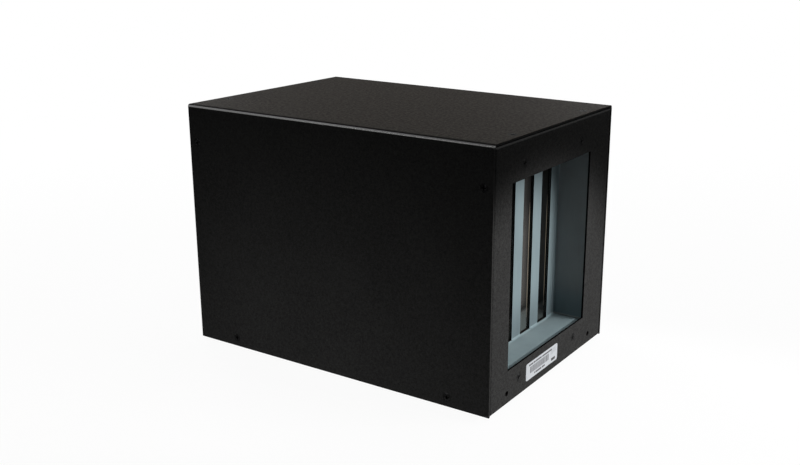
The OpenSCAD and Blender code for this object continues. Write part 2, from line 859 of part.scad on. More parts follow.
// Cambered section of a blade: x along the rim, y along the fan's axis.
module blade_section() {
    span = min(blade_w, cup_l - cup_gap);
    reach = sqrt(pow(blade_r, 2) - pow(span, 2) / 2) / sqrt(2);
    intersection() {
        translate([reach, -reach]) difference() {
            circle(blade_r + blade_t / 2);
            circle(blade_r - blade_t / 2);
        }
        square(span, center = true);
    }
}

module fan_rotor() {
    color("#232326") at_fan() {
        intersection() {
            cylinder(h = fan_d, r = rotor_r);
            for (i = [1:blade_count]) {
                rotate(i * 360 / blade_count) translate([cup_r - cup_wall / 2, 0, cup_z + cup_l / 2])
                    along_x(duct_r - cup_r) blade_section();
            }
        }
        translate([0, 0, cup_z]) difference() {
            cylinder(h = cup_l, r = cup_r);
            translate([0, 0, -past]) cylinder(h = cup_l - cup_wall + past, r = cup_r - cup_wall);
        }
        translate([0, 0, strut_t / 2 + shaft_gap])
            cylinder(h = cup_z + cup_l - strut_t / 2 - cup_wall / 2, r = shaft_r);
    }
}

module fan_screws() {
    color("#202022") fan_screw_places() translate([0, 0, -panel_t]) mirror([0, 0, 1])
        pan_screw(fan_screw_l, fan_screw_r, fan_head_r);
}

// Power inlet on the board's rear edge, its sleeve through the panel.
module dc_jack() {
    inside = panel_t + port_gap;
    color("#161617") at_jack() difference() {
        union() {
            translate([-jack_h / 2, -jack_w / 2, inside]) cube([jack_h, jack_w, jack_d]);
            translate([0, 0, -sleeve_proud]) cylinder(h = sleeve_proud + inside + past, r = sleeve_r);
        }
        translate([0, 0, -sleeve_proud - past]) cylinder(h = jack_hole_d + past, r = jack_r);
    }
}

module dc_jack_pin() {
    color("silver") at_jack() cylinder(h = jack_hole_d - sleeve_proud, r = pin_r);
}

// Outline of the link socket with two cut corners, standing on the board, made smaller by inset.
module link_section(inset) {
    half_w = link_w / 2 - inset;
    h = link_h - inset;
    cut = link_cut - inset * (2 - sqrt(2));
    polygon([
        [-half_w, inset], [half_w, inset], [half_w, h - cut],
        [half_w - cut, h], [cut - half_w, h], [-half_w, h - cut]
    ]);
}

module link_shell() {
    color("silver") translate([rear_x - rear_proud, link_y, board_top]) difference() {
        along_x(rear_proud + link_d) link_section(0);
        translate([-past, 0, 0]) along_x(rear_proud + link_d + 2 * past) link_section(link_wall);
    }
}

// Moulded core of the link socket: a block at its back and the blade that carries the contacts.
module link_insert() {
    blade_l = link_d - root_l + rear_proud / 2 + past;
    color("#161617") translate([rear_x, link_y, board_top]) {
        translate([link_d - root_l, 0, 0]) along_x(root_l) link_section(link_wall);
        translate([-rear_proud / 2, 0, link_h / 2]) along_x(blade_l)
            square([contact_w, blade_h], center = true);
    }
}

// Switch: a frame on the panel and a body with a well for the rocker.
module switch_body() {
    body_w2 = bezel_w - 2 * (bezel_lip + screw_gap);
    body_h2 = bezel_h - 2 * (bezel_lip + screw_gap);
    color("#141415") at_switch() difference() {
        union() {
            translate([-bezel_t, 0, 0]) along_x(bezel_t) round_rect(bezel_w, bezel_h, bezel_lip);
            along_x(switch_d) square([body_w2, body_h2], center = true);
        }
        translate([-bezel_t - past, 0, 0]) along_x(bezel_t + well_d + past)
            square([well_w, well_h], center = true);
        translate([pivot_d, 0, 0]) rotate([90, 0, 0])
            cylinder(h = well_w + 2 * (pivot_l + pivot_gap), r = pivot_r + pivot_gap, center = true);
    }
}

// Rocker with two slanted halves, turned to its off position, and its pivot pins.
module switch_rocker() {
    foot_half = rocker_half * rocker_foot;
    color("#1d1d1f") at_switch() translate([pivot_d, 0, 0]) rotate([0, rocker_a, 0]) {
        across_y(well_w - 2 * rocker_gap) polygon([
            [foot_half / 2, -foot_half], [foot_half / 2, foot_half],
            [-rocker_top, rocker_half], [rocker_half * tan(rocker_a) - rocker_top, 0],
            [-rocker_top, -rocker_half]
        ]);
        rotate([90, 0, 0]) cylinder(h = well_w + 2 * pivot_l, r = pivot_r, center = true);
    }
}

module switch_terminals() {
    color("#c9a64a") at_switch() for (z = row(2, bezel_h / 2)) {
        translate([switch_d, -terminal_w / 2, z - terminal_t / 2]) cube([terminal_l, terminal_w, terminal_t]);
    }
}

// Lamp with a round nose and a collar behind the panel.
module power_led() {
    color("#7fe08a") translate([rear_x, led_y, floor_z + switch_z]) rotate([0, 90, 0]) {
        sphere(led_r);
        cylinder(h = panel_t, r = led_r);
        translate([0, 0, panel_t]) cylinder(h = 2 * led_r, r = led_r + led_collar);
    }
}

cover();
front_panel();
rear_panel();
base_tray();
slot_bay();
for (i = [1:slot_count]) {
    slot_cover(i);
    pci_slot(i);
}
slot_cover_screws();
slot_bay_screws();
cover_screws();
panel_screws();
for (i = [1:4]) {
    foot(i);
}
label();
backplane_board();
board_standoffs();
board_screws();
bridge_chip();
capacitors();
fan_header();
fan_frame();
fan_stator();
fan_rotor();
fan_screws();
dc_jack();
dc_jack_pin();
link_shell();
link_insert();
switch_body();
switch_rocker();
switch_terminals();
power_led();
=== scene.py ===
"""Looks of the expansion box: its finishes, the small contacts, the stage, the light and the camera.

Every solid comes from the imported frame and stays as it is. The classes below give each
sub-assembly its finishes and add the small pieces that the solids leave out. Lengths are in metres.
"""

import json
import logging
import math
from dataclasses import dataclass
from enum import Enum
from types import MappingProxyType
from typing import Any, List, Mapping, Sequence, Tuple, Union

import bpy
import numpy as np
from mathutils import Matrix, Vector


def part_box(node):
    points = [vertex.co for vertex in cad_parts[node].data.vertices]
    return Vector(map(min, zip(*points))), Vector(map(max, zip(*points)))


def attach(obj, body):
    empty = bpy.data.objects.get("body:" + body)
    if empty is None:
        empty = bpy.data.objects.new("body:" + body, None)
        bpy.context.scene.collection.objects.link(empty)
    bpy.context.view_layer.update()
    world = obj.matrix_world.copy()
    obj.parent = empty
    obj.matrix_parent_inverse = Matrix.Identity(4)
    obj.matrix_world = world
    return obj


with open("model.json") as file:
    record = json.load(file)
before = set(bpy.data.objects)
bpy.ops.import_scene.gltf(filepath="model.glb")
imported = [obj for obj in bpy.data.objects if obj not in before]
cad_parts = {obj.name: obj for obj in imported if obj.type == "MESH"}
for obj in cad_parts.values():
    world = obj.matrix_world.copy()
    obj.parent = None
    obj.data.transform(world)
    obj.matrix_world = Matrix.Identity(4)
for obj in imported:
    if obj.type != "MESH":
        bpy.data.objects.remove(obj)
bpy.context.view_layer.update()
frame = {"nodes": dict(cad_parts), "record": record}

LOG = logging.getLogger("expansion_box")
MM = 0.001
BODY = "box"

Colour = Tuple[float, float, float]
Point = Tuple[float, float, float]
Box = Tuple[Point, Point]
Span = Tuple[float, float]
Key = Union[int, str]
Value = Union["Wire", float]

NOTHING: Mapping[Any, Any] = MappingProxyType({})
WHITE = (1.0, 1.0, 1.0, 1.0)
# An empty box away from the part, for sheets without an opening.
NOWHERE: Box = ((1.0, 1.0, 1.0), (1.0, 1.0, 1.0))
# Mirror gloss of the black faces: next to none, because all that they would mirror is white.
BLACK_GLOSS = 0.003


def grey(level: float) -> Colour:
    """Colour with three equal values."""
    return (level, level, level)


class Axis(Enum):
    """Row axes, as places in a vector."""

    X = 0
    Y = 1
    Z = 2


class Ray(Enum):
    """Kinds of ray that see the white surroundings."""

    CAMERA = "Is Camera Ray"
    GLOSSY = "Is Glossy Ray"
    TRANSMISSION = "Is Transmission Ray"


class PaintedReflection(Enum):
    """Painted reflection on a slot cover: share of the plating colour left at each height, painted black
    elsewhere, as (height, share) stops from its foot up.
    """

    THICK_ABOVE = (
        (0.13, 1.0), (0.15, 0.12), (0.19, 0.22), (0.26, 0.29), (0.57, 0.29), (0.75, 0.07), (0.86, 0.03)
    )
    THIN_ABOVE = (
        (0.11, 0.7), (0.13, 0.16), (0.19, 0.26), (0.26, 0.34), (0.57, 0.36), (0.75, 0.27), (0.86, 0.22)
    )


class Wire:
    """One socket of a graph. An expression on wires adds the Math nodes that work it out."""

    def __init__(self, graph: "Graph", socket: bpy.types.NodeSocket) -> None:
        """Keeps the socket and the graph that it belongs to."""
        self.graph = graph
        self.socket = socket

    def _math(self, operation: str, *values: Value) -> "Wire":
        """Adds one Math node.

        Args:
            operation: Name of the node's operation.
            values: Its inputs in order.

        Returns:
            The node's result.
        """
        return self.graph.add("ShaderNodeMath", {"operation": operation}, dict(enumerate(values)))

    def __add__(self, other: Value) -> "Wire":
        """Sum."""
        return self._math("ADD", self, other)

    __radd__ = __add__

    def __sub__(self, other: Value) -> "Wire":
        """Difference."""
        return self._math("SUBTRACT", self, other)

    def __rsub__(self, other: Value) -> "Wire":
        """Difference from a number."""
        return self._math("SUBTRACT", other, self)

    def __mul__(self, other: Value) -> "Wire":
        """Product."""
        return self._math("MULTIPLY", self, other)

    __rmul__ = __mul__

    def __truediv__(self, other: Value) -> "Wire":
        """Quotient."""
        return self._math("DIVIDE", self, other)

    def __abs__(self) -> "Wire":
        """Size without sign."""
        return self._math("ABSOLUTE", self)

    def __mod__(self, other: Value) -> "Wire":
        """Rest of a division, never below zero."""
        return self._math("FLOORED_MODULO", self, other)

    def hypot(self, other: "Wire") -> "Wire":
        """Distance from where this value and another are both zero."""
        return self._math("SQRT", self * self + other * other)

    def least(self, other: Value) -> "Wire":
        """Smaller of two values."""
        return self._math("MINIMUM", self, other)

    def most(self, other: Value) -> "Wire":
        """Larger of two values."""
        return self._math("MAXIMUM", self, other)

    def rise(self, low: float, high: float) -> "Wire":
        """Smooth step.

        Args:
            low: Value at which the step starts from 0.
            high: Value at which it reaches 1; below low, the step falls instead.

        Returns:
            The step, from 0 to 1.
        """
        settings = {"interpolation_type": "SMOOTHSTEP"}
        if low < high:
            return self.graph.add("ShaderNodeMapRange", settings, {0: self, 1: low, 2: high})
        return 1 - self.graph.add("ShaderNodeMapRange", settings, {0: self, 1: high, 2: low})

    def within(self, low: float, high: float, soft: float) -> "Wire":
        """Mask of a stretch of values.

        Args:
            low: Lower end of the stretch.
            high: Upper end of the stretch.
            soft: Width of the soft ends, which lie outside it.

        Returns:
            1 inside the stretch and 0 well outside it.
        """
        middle, half = (low + high) / 2, (high - low) / 2
        return abs(self - middle).rise(half + soft, half)


class Graph:
    """The nodes of one material or of the world."""

    def __init__(self, tree: bpy.types.NodeTree) -> None:
        """Empties the tree and keeps it."""
        self.tree = tree
        tree.nodes.clear()

    def add(
        self,
        kind: str,
        settings: Mapping[str, Any] = NOTHING,
        inputs: Mapping[Key, Any] = NOTHING,
        out: Key = 0,
    ) -> Wire:
        """Adds any node.

        Args:
            kind: The node's type.
            settings: Its own settings, which are set first; "stops" holds a ramp's (place, colour) pairs.
            inputs: Values or wires for its sockets, by name or place.
            out: Name or place of the socket to go on with.

        Returns:
            The wire from that socket.
        """
        node = self.tree.nodes.new(kind)
        for name, value in settings.items():
            if name == "stops":
                elements = node.color_ramp.elements
                while len(elements) < len(value):
                    elements.new(1.0)
                for element, (place, colour) in zip(elements, value):
                    element.position, element.color = place, (*colour, 1.0)
            else:
                setattr(node, name, value)
        for key, value in inputs.items():
            if isinstance(value, Wire):
                self.tree.links.new(value.socket, node.inputs[key])
            else:
                node.inputs[key].default_value = value
        return Wire(self, node.outputs[out] if node.outputs else node.inputs[0])

    def point(self) -> Wire:
        """Place on the piece, in metres."""
        return self.add("ShaderNodeTexCoord", out="Object")

    def axes(self, vector: Wire) -> List[Wire]:
        """X, Y and Z of a vector."""
        node = self.add("ShaderNodeSeparateXYZ", {}, {0: vector}).socket.node
        return [Wire(self, socket) for socket in node.outputs]

    def stretched(self, vector: Wire, factors: Point) -> Wire:
        """Vector with each axis multiplied by its factor."""
        return self.add("ShaderNodeVectorMath", {"operation": "MULTIPLY"}, {0: vector, 1: factors})

    def noise(self, vector: Wire, size: float, detail: float, rough: float) -> Wire:
        """Soft noise.

        Args:
            vector: Where to read it.
            size: Length of its waves.
            detail: Octaves of finer noise in it.
            rough: Weight of the finer octaves.

        Returns:
            Values about 0.5.
        """
        return self.add(
            "ShaderNodeTexNoise",
            {},
            {"Vector": vector, "Scale": 1 / size, "Detail": detail, "Roughness": rough},
        )

    def cells(self, vector: Wire, size: float) -> Wire:
        """Distance to the nearest of scattered points, a cell's size apart."""
        return self.add("ShaderNodeTexVoronoi", {}, {"Vector": vector, "Scale": 1 / size}, "Distance")

    def blend(self, mask: Value, under: Any, over: Any) -> Wire:
        """Mixes two colours.

        Args:
            mask: 0 for the first colour, 1 for the second.
            under: First colour, or a wire.
            over: Second colour, or a wire.

        Returns:
            The mixed colour.
        """
        first, second = [end if isinstance(end, Wire) else (*end, 1.0) for end in (under, over)]
        return self.add("ShaderNodeMix", {"data_type": "RGBA"}, {0: mask, 6: first, 7: second}, 2)

    def tint(self, mask: Value, colour: Wire, factor: Colour) -> Wire:
        """Colour multiplied by a factor where a mask is 1."""
        settings = {"data_type": "RGBA", "blend_type": "MULTIPLY"}
        return self.add("ShaderNodeMix", settings, {0: mask, 6: colour, 7: (*factor, 1.0)}, 2)

    def bump(self, height: Wire, depth: float, strength: float) -> Wire:
        """Normal of a surface with relief.

        Args:
            height: Relief from 0 to 1.
            depth: Height of the relief in metres.
            strength: Share of it that shows.

        Returns:
            The normal.
        """
        return self.add(
            "ShaderNodeBump", {}, {"Strength": strength, "Distance": depth, "Height": height}, "Normal"
        )

    def surface(self, **inputs: Any) -> None:
        """Ends the graph in a Principled shader.

        Args:
            inputs: Its sockets, with underscores for the spaces in their names.
        """
        named = {key.replace("_", " "): value for key, value in inputs.items()}
        shader = self.add("ShaderNodeBsdfPrincipled", {}, named)
        self.add("ShaderNodeOutputMaterial", {}, {"Surface": shader})


@dataclass(frozen=True)
class Finish:
    """A finish that can be put on any piece."""

    name: str

    def draw(self, g: Graph) -> None:
        """Draws the finish's nodes into a graph."""
        raise NotImplementedError

    def material(self) -> bpy.types.Material:
        """Makes a material of the finish.

        Returns:
            The new material.
        """
        made = bpy.data.materials.new(self.name)
        made.use_nodes = True
        self.draw(Graph(made.node_tree))
        return made

    def dress(self, *nodes: str) -> None:
        """Puts the finish on CAD nodes.

        Args:
            nodes: Names of the nodes.
        """
        made = self.material()
        for name in nodes:
            node = frame["nodes"][name]
            if not node.material_slots:
                node.data.materials.append(made)
            for slot in node.material_slots:
                slot.material = made
            LOG.info("%s: %s", name, made.name)


@dataclass(frozen=True)
class PowderCoat(Finish):
    """Black powder coat with a fine grain, dusty on top, with a painted dark reflection and then a shine
    round the upper folds, and painted shade on the cut faces of its opening.

    Attributes:
        middle: Middle of the sheet's box.
        half: Half of its sizes.
        across: Axis across the faces that the upper folds lead to.
        fold_shine: Weight of the polish on those folds.
        contrast: Strength of the grain in the colour.
        fade: Share of the polish that is lost at the +X end.
        fold: Radius of the folds.
        cut_out: Box of an opening whose cut faces are painted near black as shade.
        tone: Place of the mean colour between dark, 0, and light, 1.
        lap: How far outside that box they may lie.
    """

    middle: Point
    half: Point
    across: Axis
    fold_shine: float
    contrast: float = 1.0
    fade: float = 0.0
    fold: float = 1.5 * MM
    cut_out: Box = NOWHERE
    # Near-black painted shade, for the opening's cut faces and the painted dark reflection beside the upper
    # folds.
    cut: Colour = grey(0.006)
    dark: Colour = (0.0260, 0.0258, 0.0255)
    light: Colour = (0.0600, 0.0595, 0.0588)
    # Dust on the top face.
    dust_and_painted_light: Colour = (0.97, 0.88, 0.79)
    tone: float = 0.48
    rough: float = 0.62
    grain: float = 0.75 * MM
    mottle: float = 1.95 * MM
    pits: float = 0.6 * MM
    clouds: float = 45 * MM
    relief: float = 0.02 * MM
    lap: float = 0.25 * MM

    def depth(self, g: Graph, p: Wire, axis: Axis) -> Wire:
        """Depth below the outer face across an axis: the nearer of two, or for Z the top.

        Args:
            g: The graph to draw in.
            p: Place on the piece.
            axis: The axis.

        Returns:
            The depth in metres.
        """
        i = axis.value
        place = g.axes(p)[i] - self.middle[i]
        return self.half[i] - (place if axis is Axis.Z else abs(place))

    def shine(self, g: Graph, p: Wire) -> Wire:
        """Polish on the lower half of the upper folds and just below it, which fades towards +X.

        Args:
            g: The graph to draw in.
            p: Place on the piece.

        Returns:
            Weight of the polish.
        """
        beside = self.depth(g, p, self.across).rise(self.fold, 0.6 * self.fold)
        below = self.depth(g, p, Axis.Z).within(0.45 * self.fold, self.fold, 0.2 * self.fold)
        along = (g.axes(p)[Axis.X.value] - self.middle[0]).rise(-0.1 * self.half[0], self.half[0])
        return beside * below * (1 - along * self.fade) * self.fold_shine

    def painted_dark_reflection(self, g: Graph, p: Wire) -> Wire:
        """Mask of a painted dark reflection on the top, beside and on the upper half of a fold."""
        beside = self.depth(g, p, self.across).rise(2.4 * self.fold, 1.4 * self.fold)
        return beside * self.depth(g, p, Axis.Z).rise(0.5 * self.fold, 0.3 * self.fold)

    def inside_cut_out(self, g: Graph, p: Wire) -> Wire:
        """Mask of the painted shade on the cut faces round the opening, which lie at its edges in Y and Z.

        Args:
            g: The graph to draw in.
            p: Place on the piece.

        Returns:
            1 on the cut faces and inside the opening.
        """
        spans = list(zip(g.axes(p), *self.cut_out))[Axis.Y.value :]
        y, z = [axis.within(low - self.lap, high + self.lap, 0.8 * self.lap) for axis, low, high in spans]
        return y * z

    def draw(self, g: Graph) -> None:
        """Grain in colour, gloss and relief, a dusty top, a painted dark reflection and polish round the
        folds, and painted shade on the cuts.

        Args:
            g: The graph to draw in.
        """
        p = g.point()
        grain = g.noise(p, self.grain, 2.0, 0.6)
        mottle = g.noise(p, self.mottle, 2.0, 0.6)
        pits = g.cells(p, self.pits)
        broad = g.noise(p, self.clouds, 3.0, 0.55)
        top = self.depth(g, p, Axis.Z).rise(0.4 * MM, 0.2 * MM)
        fine = (grain - 0.5) * self.contrast + (mottle - 0.5) * (0.6 * self.contrast)
        specks = (grain - 0.5) + (mottle - 0.5) * 1.8
        tone = fine + specks * top + (broad - 0.5) * 0.3 + self.tone
        coat = g.tint(top, g.blend(tone.rise(0.0, 1.0), self.dark, self.light), self.dust_and_painted_light)
        # Near black: painted shade on the opening's cut faces and a painted dark reflection beside the upper
        # folds.
        cut = self.inside_cut_out(g, p).most(self.painted_dark_reflection(g, p) * 0.8)
        g.surface(
            Base_Color=g.blend(cut, coat, self.cut),
            Roughness=self.rough + (broad - 0.5) * 0.12 + (grain - 0.5) * 0.15,
            Specular_IOR_Level=BLACK_GLOSS,
            Coat_Weight=self.shine(g, p),
            Coat_Roughness=0.25,
            Coat_IOR=2.1,
            Normal=g.bump(grain * 0.65 + mottle * 0.5 + pits * 0.4, self.relief, 0.8),
        )


@dataclass(frozen=True)
class BayCoat(Finish):
    """Matt blue-grey coat of the slot bay: painted shade at its foot, painted light on its side walls and
    near-black painted shade on the cut edges in its slots.

    Attributes:
        face_x: Where the front of the bay's back lies.
        sheet: Thickness of the sheet.
        room: Box of the room in the bay.
        worn: Share of the colour that is left in smudges.
        climb: How high the painted shade at the foot reaches.
        skin: Depth that still counts as a face.
        inset: Share of the sheet at each face of a cut edge that keeps the coat's colour; the rest is
            painted shade.
    """

    face_x: float
    sheet: float
    room: Box
    colour: Colour = (0.262, 0.335, 0.357)
    # Painted shade: near black in the middle of the slots' cut edges.
    edge: Colour = grey(0.004)
    # Painted shade that darkens the bay's foot above the shelf.
    painted_foot_shade: Colour = (0.62, 0.62, 0.63)
    # Painted light that lightens and warms the side walls above the foot.
    dust_and_painted_light: Colour = (1.28, 1.06, 1.02)
    worn: float = 0.90
    rough: float = 0.50
    climb: float = 32 * MM
    skin: float = 0.2 * MM
    inset: float = 0.07
    peel: float = 0.9 * MM
    smudge: float = 16 * MM
    relief: float = 0.015 * MM

    def draw(self, g: Graph) -> None:
        """Orange peel, faint smudges, painted shade above the shelf, painted light on the walls, and painted
        shade on the slots' cut edges.

        Args:
            g: The graph to draw in.
        """
        p = g.point()
        x, y, z = g.axes(p)
        (_, low_y, low_z), (_, high_y, _) = self.room
        # Painted shade at the bay's foot: full at the shelf, gone at the climb height.
        foot = z.rise(low_z + self.climb, low_z) * z.rise(low_z - 3 * self.skin, low_z - self.skin)
        beside = 1 - y.within(low_y, high_y, 2 * self.skin)
        peel = g.noise(p, self.peel, 2.0, 0.5)
        smudge = g.noise(g.stretched(p, (1.0, 1.0, 0.35)), self.smudge, 4.0, 0.6)
        inset = self.inset * self.sheet
        # Middle of the slots' cut edges, painted near black as shade.
        cut = x.within(self.face_x - self.sheet + inset, self.face_x - inset, 0.02 * self.sheet)
        worn = tuple(self.worn * c for c in self.colour)
        # Smudges, with painted shade at the foot.
        coat = g.tint(foot, g.blend(smudge.rise(0.35, 0.75), self.colour, worn), self.painted_foot_shade)
        # Painted light on the side walls, above the foot.
        coat = g.tint(beside * (1 - foot), coat, self.dust_and_painted_light)
        g.surface(
            Base_Color=g.blend(cut, coat, self.edge),
            Roughness=self.rough + (smudge - 0.5) * 0.14 + (peel - 0.5) * 0.1,
            Specular_IOR_Level=0.06,
            Normal=g.bump(peel, self.relief, 0.4),
        )


@dataclass(frozen=True)
class BrightPlate(Finish):
    """Plated sheet with a painted reflection, bright at its foot and darker above, and one painted highlight
    line beside its edge.

    Attributes:
        middle: Middle of the sheet's box.
        half: Half of its sizes.
        painted_reflection: Painted reflection, as the share of the plating colour left on the way up.
        line: Distance of the painted highlight line from the middle.
        line_half: Half of its width.
        line_span: Where it starts and ends, as shares of the height.
    """

    middle: Point
    half: Point
    painted_reflection: PaintedReflection
    line: float = 4.0 * MM
    line_half: float = 0.2 * MM
    line_span: Span = (0.20, 0.62)
    colour: Colour = (0.460, 0.435, 0.400)
    dull: Colour = (0.340, 0.320, 0.290)
    # Painted highlight: a paler, rougher line on the darkened plating.
    painted_highlight: Colour = (0.215, 0.192, 0.145)
    rough: float = 0.16
    streak: float = 0.5 * MM
    bloom: float = 14 * MM
    relief: float = 0.004 * MM

    def draw(self, g: Graph) -> None:
        """Streaks along Z, a soft bloom in the plating, a painted reflection that changes upwards, and the
        painted highlight line.

        Args:
            g: The graph to draw in.
        """
        p = g.point()
        _, y, z = g.axes(p)
        up = (z - self.middle[2]) / (2 * self.half[2]) + 0.5
        # Painted reflection: the plating colour where the stops are 1, painted black where they are 0.
        stops = [(place, grey(clear)) for place, clear in self.painted_reflection.value]
        clear = g.add("ShaderNodeValToRGB", {"stops": stops}, {0: up})
        streaks = g.noise(g.stretched(p, (1.0, 1.0, 0.02)), self.streak, 3.0, 0.6)
        bloom = g.noise(p, self.bloom, 3.0, 0.5)
        # Painted highlight line, a little to one side of the middle.
        beside = y - (self.middle[1] + self.line)
        line = beside.within(-self.line_half, self.line_half, 2 * self.line_half)
        line = line * up.within(*self.line_span, 0.15)
        plating = g.blend((streaks * 0.5 + bloom * 0.5).rise(0.3, 0.7), self.colour, self.dull)
        g.surface(
            Base_Color=g.blend(line, g.blend(clear, grey(0.0), plating), self.painted_highlight),
            Metallic=1.0,
            Roughness=self.rough + bloom * 0.10 + (streaks - 0.5) * 0.10 + line * 0.35,
            Normal=g.bump(streaks, self.relief, 0.5),
        )


@dataclass(frozen=True)
class Metal(Finish):
    """Small metal parts: a colour, its tarnish and how rough it is."""

    colour: Colour
    tarnish: Colour
    rough: float = 0.35
    grain: float = 0.7 * MM
    patch: float = 2.4 * MM
    relief: float = 0.02 * MM

    def draw(self, g: Graph) -> None:
        """Tarnish in patches, and a fine grain in gloss and relief.

        Args:
            g: The graph to draw in.
        """
        p = g.point()
        patches = g.noise(p, self.patch, 4.0, 0.6)
        grain = g.noise(p, self.grain, 2.0, 0.6)
        g.surface(
            Base_Color=g.blend(patches.rise(0.4, 0.7), self.colour, self.tarnish),
            Metallic=1.0,
            Roughness=self.rough + (grain - 0.5) * 0.25 + (patches - 0.5) * 0.15,
            Normal=g.bump(grain, self.relief, 0.4),
        )


PLATED_STEEL = Metal("plated_steel", (0.60, 0.60, 0.58), (0.44, 0.44, 0.43), rough=0.30)
BRASS = Metal("plain_brass", (0.72, 0.55, 0.24), (0.55, 0.40, 0.17), rough=0.32)
GOLD = Metal("gold_contact", (0.83, 0.63, 0.25), (0.66, 0.48, 0.20), rough=0.25)


@dataclass(frozen=True)
class BlackOxide(Finish):
    """Black screws in the faces of the box, with heads nearly as pale as the coat, paler patches that are
    partly wear and partly painted glints, and recesses painted near black as shade.

    Attributes:
        low: Lowest corner of the box.
        high: Highest corner of the box.
        sunk: Depths below a face over which a head turns to the painted shade of its recess.
    """

    low: Point
    high: Point
    sunk: Span = (0.1 * MM, 0.3 * MM)
    face: Colour = grey(0.024)
    # Paler patches on the heads: partly wear, partly painted glints.
    wear_and_glint: Colour = (0.110, 0.110, 0.112)
    # Painted shade: near black in the recesses.
    recess: Colour = grey(0.003)
    rough: float = 0.5
    grain: float = 0.7 * MM
    patch: float = 1.6 * MM
    relief: float = 0.02 * MM

    def draw(self, g: Graph) -> None:
        """Paler patches on the heads, partly wear and partly painted glints, and painted shade in the
        recesses from their depth below the box's nearest face.

        Args:
            g: The graph to draw in.
        """
        p = g.point()
        spans = zip(g.axes(p), self.low, self.high)
        x, y, z = [(axis - low).least(high - axis) for axis, low, high in spans]
        # Painted shade where the surface lies sunk below the box's faces.
        sunk = x.least(y).least(z).rise(*self.sunk)
        patches = g.noise(p, self.patch, 3.0, 0.6)
        grain = g.noise(p, self.grain, 2.0, 0.6)
        head = g.blend(patches.rise(0.52, 0.70), self.face, self.wear_and_glint)
        g.surface(
            Base_Color=g.blend(sunk, head, self.recess),
            Roughness=self.rough + (grain - 0.5) * 0.25 + (patches - 0.5) * 0.15,
            Specular_IOR_Level=BLACK_GLOSS,
            Normal=g.bump(grain, self.relief, 0.4),
        )


@dataclass(frozen=True)
class Moulding(Finish):
    """Moulded plastic or rubber with a spark-eroded grain."""

    colour: Colour
    shade: Colour
    rough: float = 0.5
    grain: float = 0.45 * MM
    clouds: float = 9 * MM
    relief: float = 0.02 * MM

    def draw(self, g: Graph) -> None:
        """Grain in gloss and relief, and a broad unevenness of colour.

        Args:
            g: The graph to draw in.
        """
        p = g.point()
        grain = g.noise(p, self.grain, 2.0, 0.55)
        broad = g.noise(p, self.clouds, 3.0, 0.5)
        g.surface(
            Base_Color=g.blend((broad * 0.7 + grain * 0.3).rise(0.3, 0.7), self.colour, self.shade),
            Roughness=self.rough + (grain - 0.5) * 0.22 + (broad - 0.5) * 0.1,
            Specular_IOR_Level=0.4,
            Normal=g.bump(grain, self.relief, 0.5),
        )


@dataclass(frozen=True)
class RockerPlastic(Moulding):
    """Glossy rocker with a stroke on one half and a ring on the other.

    Attributes:
        middle: Middle of the rocker's box.
        spread: Distance of each mark from the middle.
        stroke: Half of the stroke's width and of its length.
        ring: Inner and outer radius of the ring.
        soft: Width of the marks' soft edges.
    """

    middle: Point = (0.0, 0.0, 0.0)
    mark: Colour = (0.75, 0.75, 0.73)
    spread: float = 4.0 * MM
    stroke: Span = (0.35 * MM, 1.5 * MM)
    ring: Span = (1.1 * MM, 1.7 * MM)
    soft: float = 0.05 * MM

    def draw(self, g: Graph) -> None:
        """The stroke and the ring are printed on the face that points out of the rear end.

        Args:
            g: The graph to draw in.
        """
        p = g.point()
        x, y, z = g.axes(p)
        across, up = y - self.middle[1], z - self.middle[2]
        outside = x.rise(self.middle[0] + 0.5 * MM, self.middle[0])
        wide, tall = self.stroke
        stroke = across.within(-wide, wide, self.soft) * (up - self.spread).within(-tall, tall, self.soft)
        ring = across.hypot(up + self.spread).within(*self.ring, self.soft)
        grain = g.noise(p, self.grain, 2.0, 0.55)
        body = g.blend(grain.rise(0.3, 0.7), self.colour, self.shade)
        g.surface(
            Base_Color=g.blend(stroke.most(ring) * outside, body, self.mark),
            Roughness=self.rough + (grain - 0.5) * 0.15,
            Normal=g.bump(grain, self.relief, 0.4),
        )


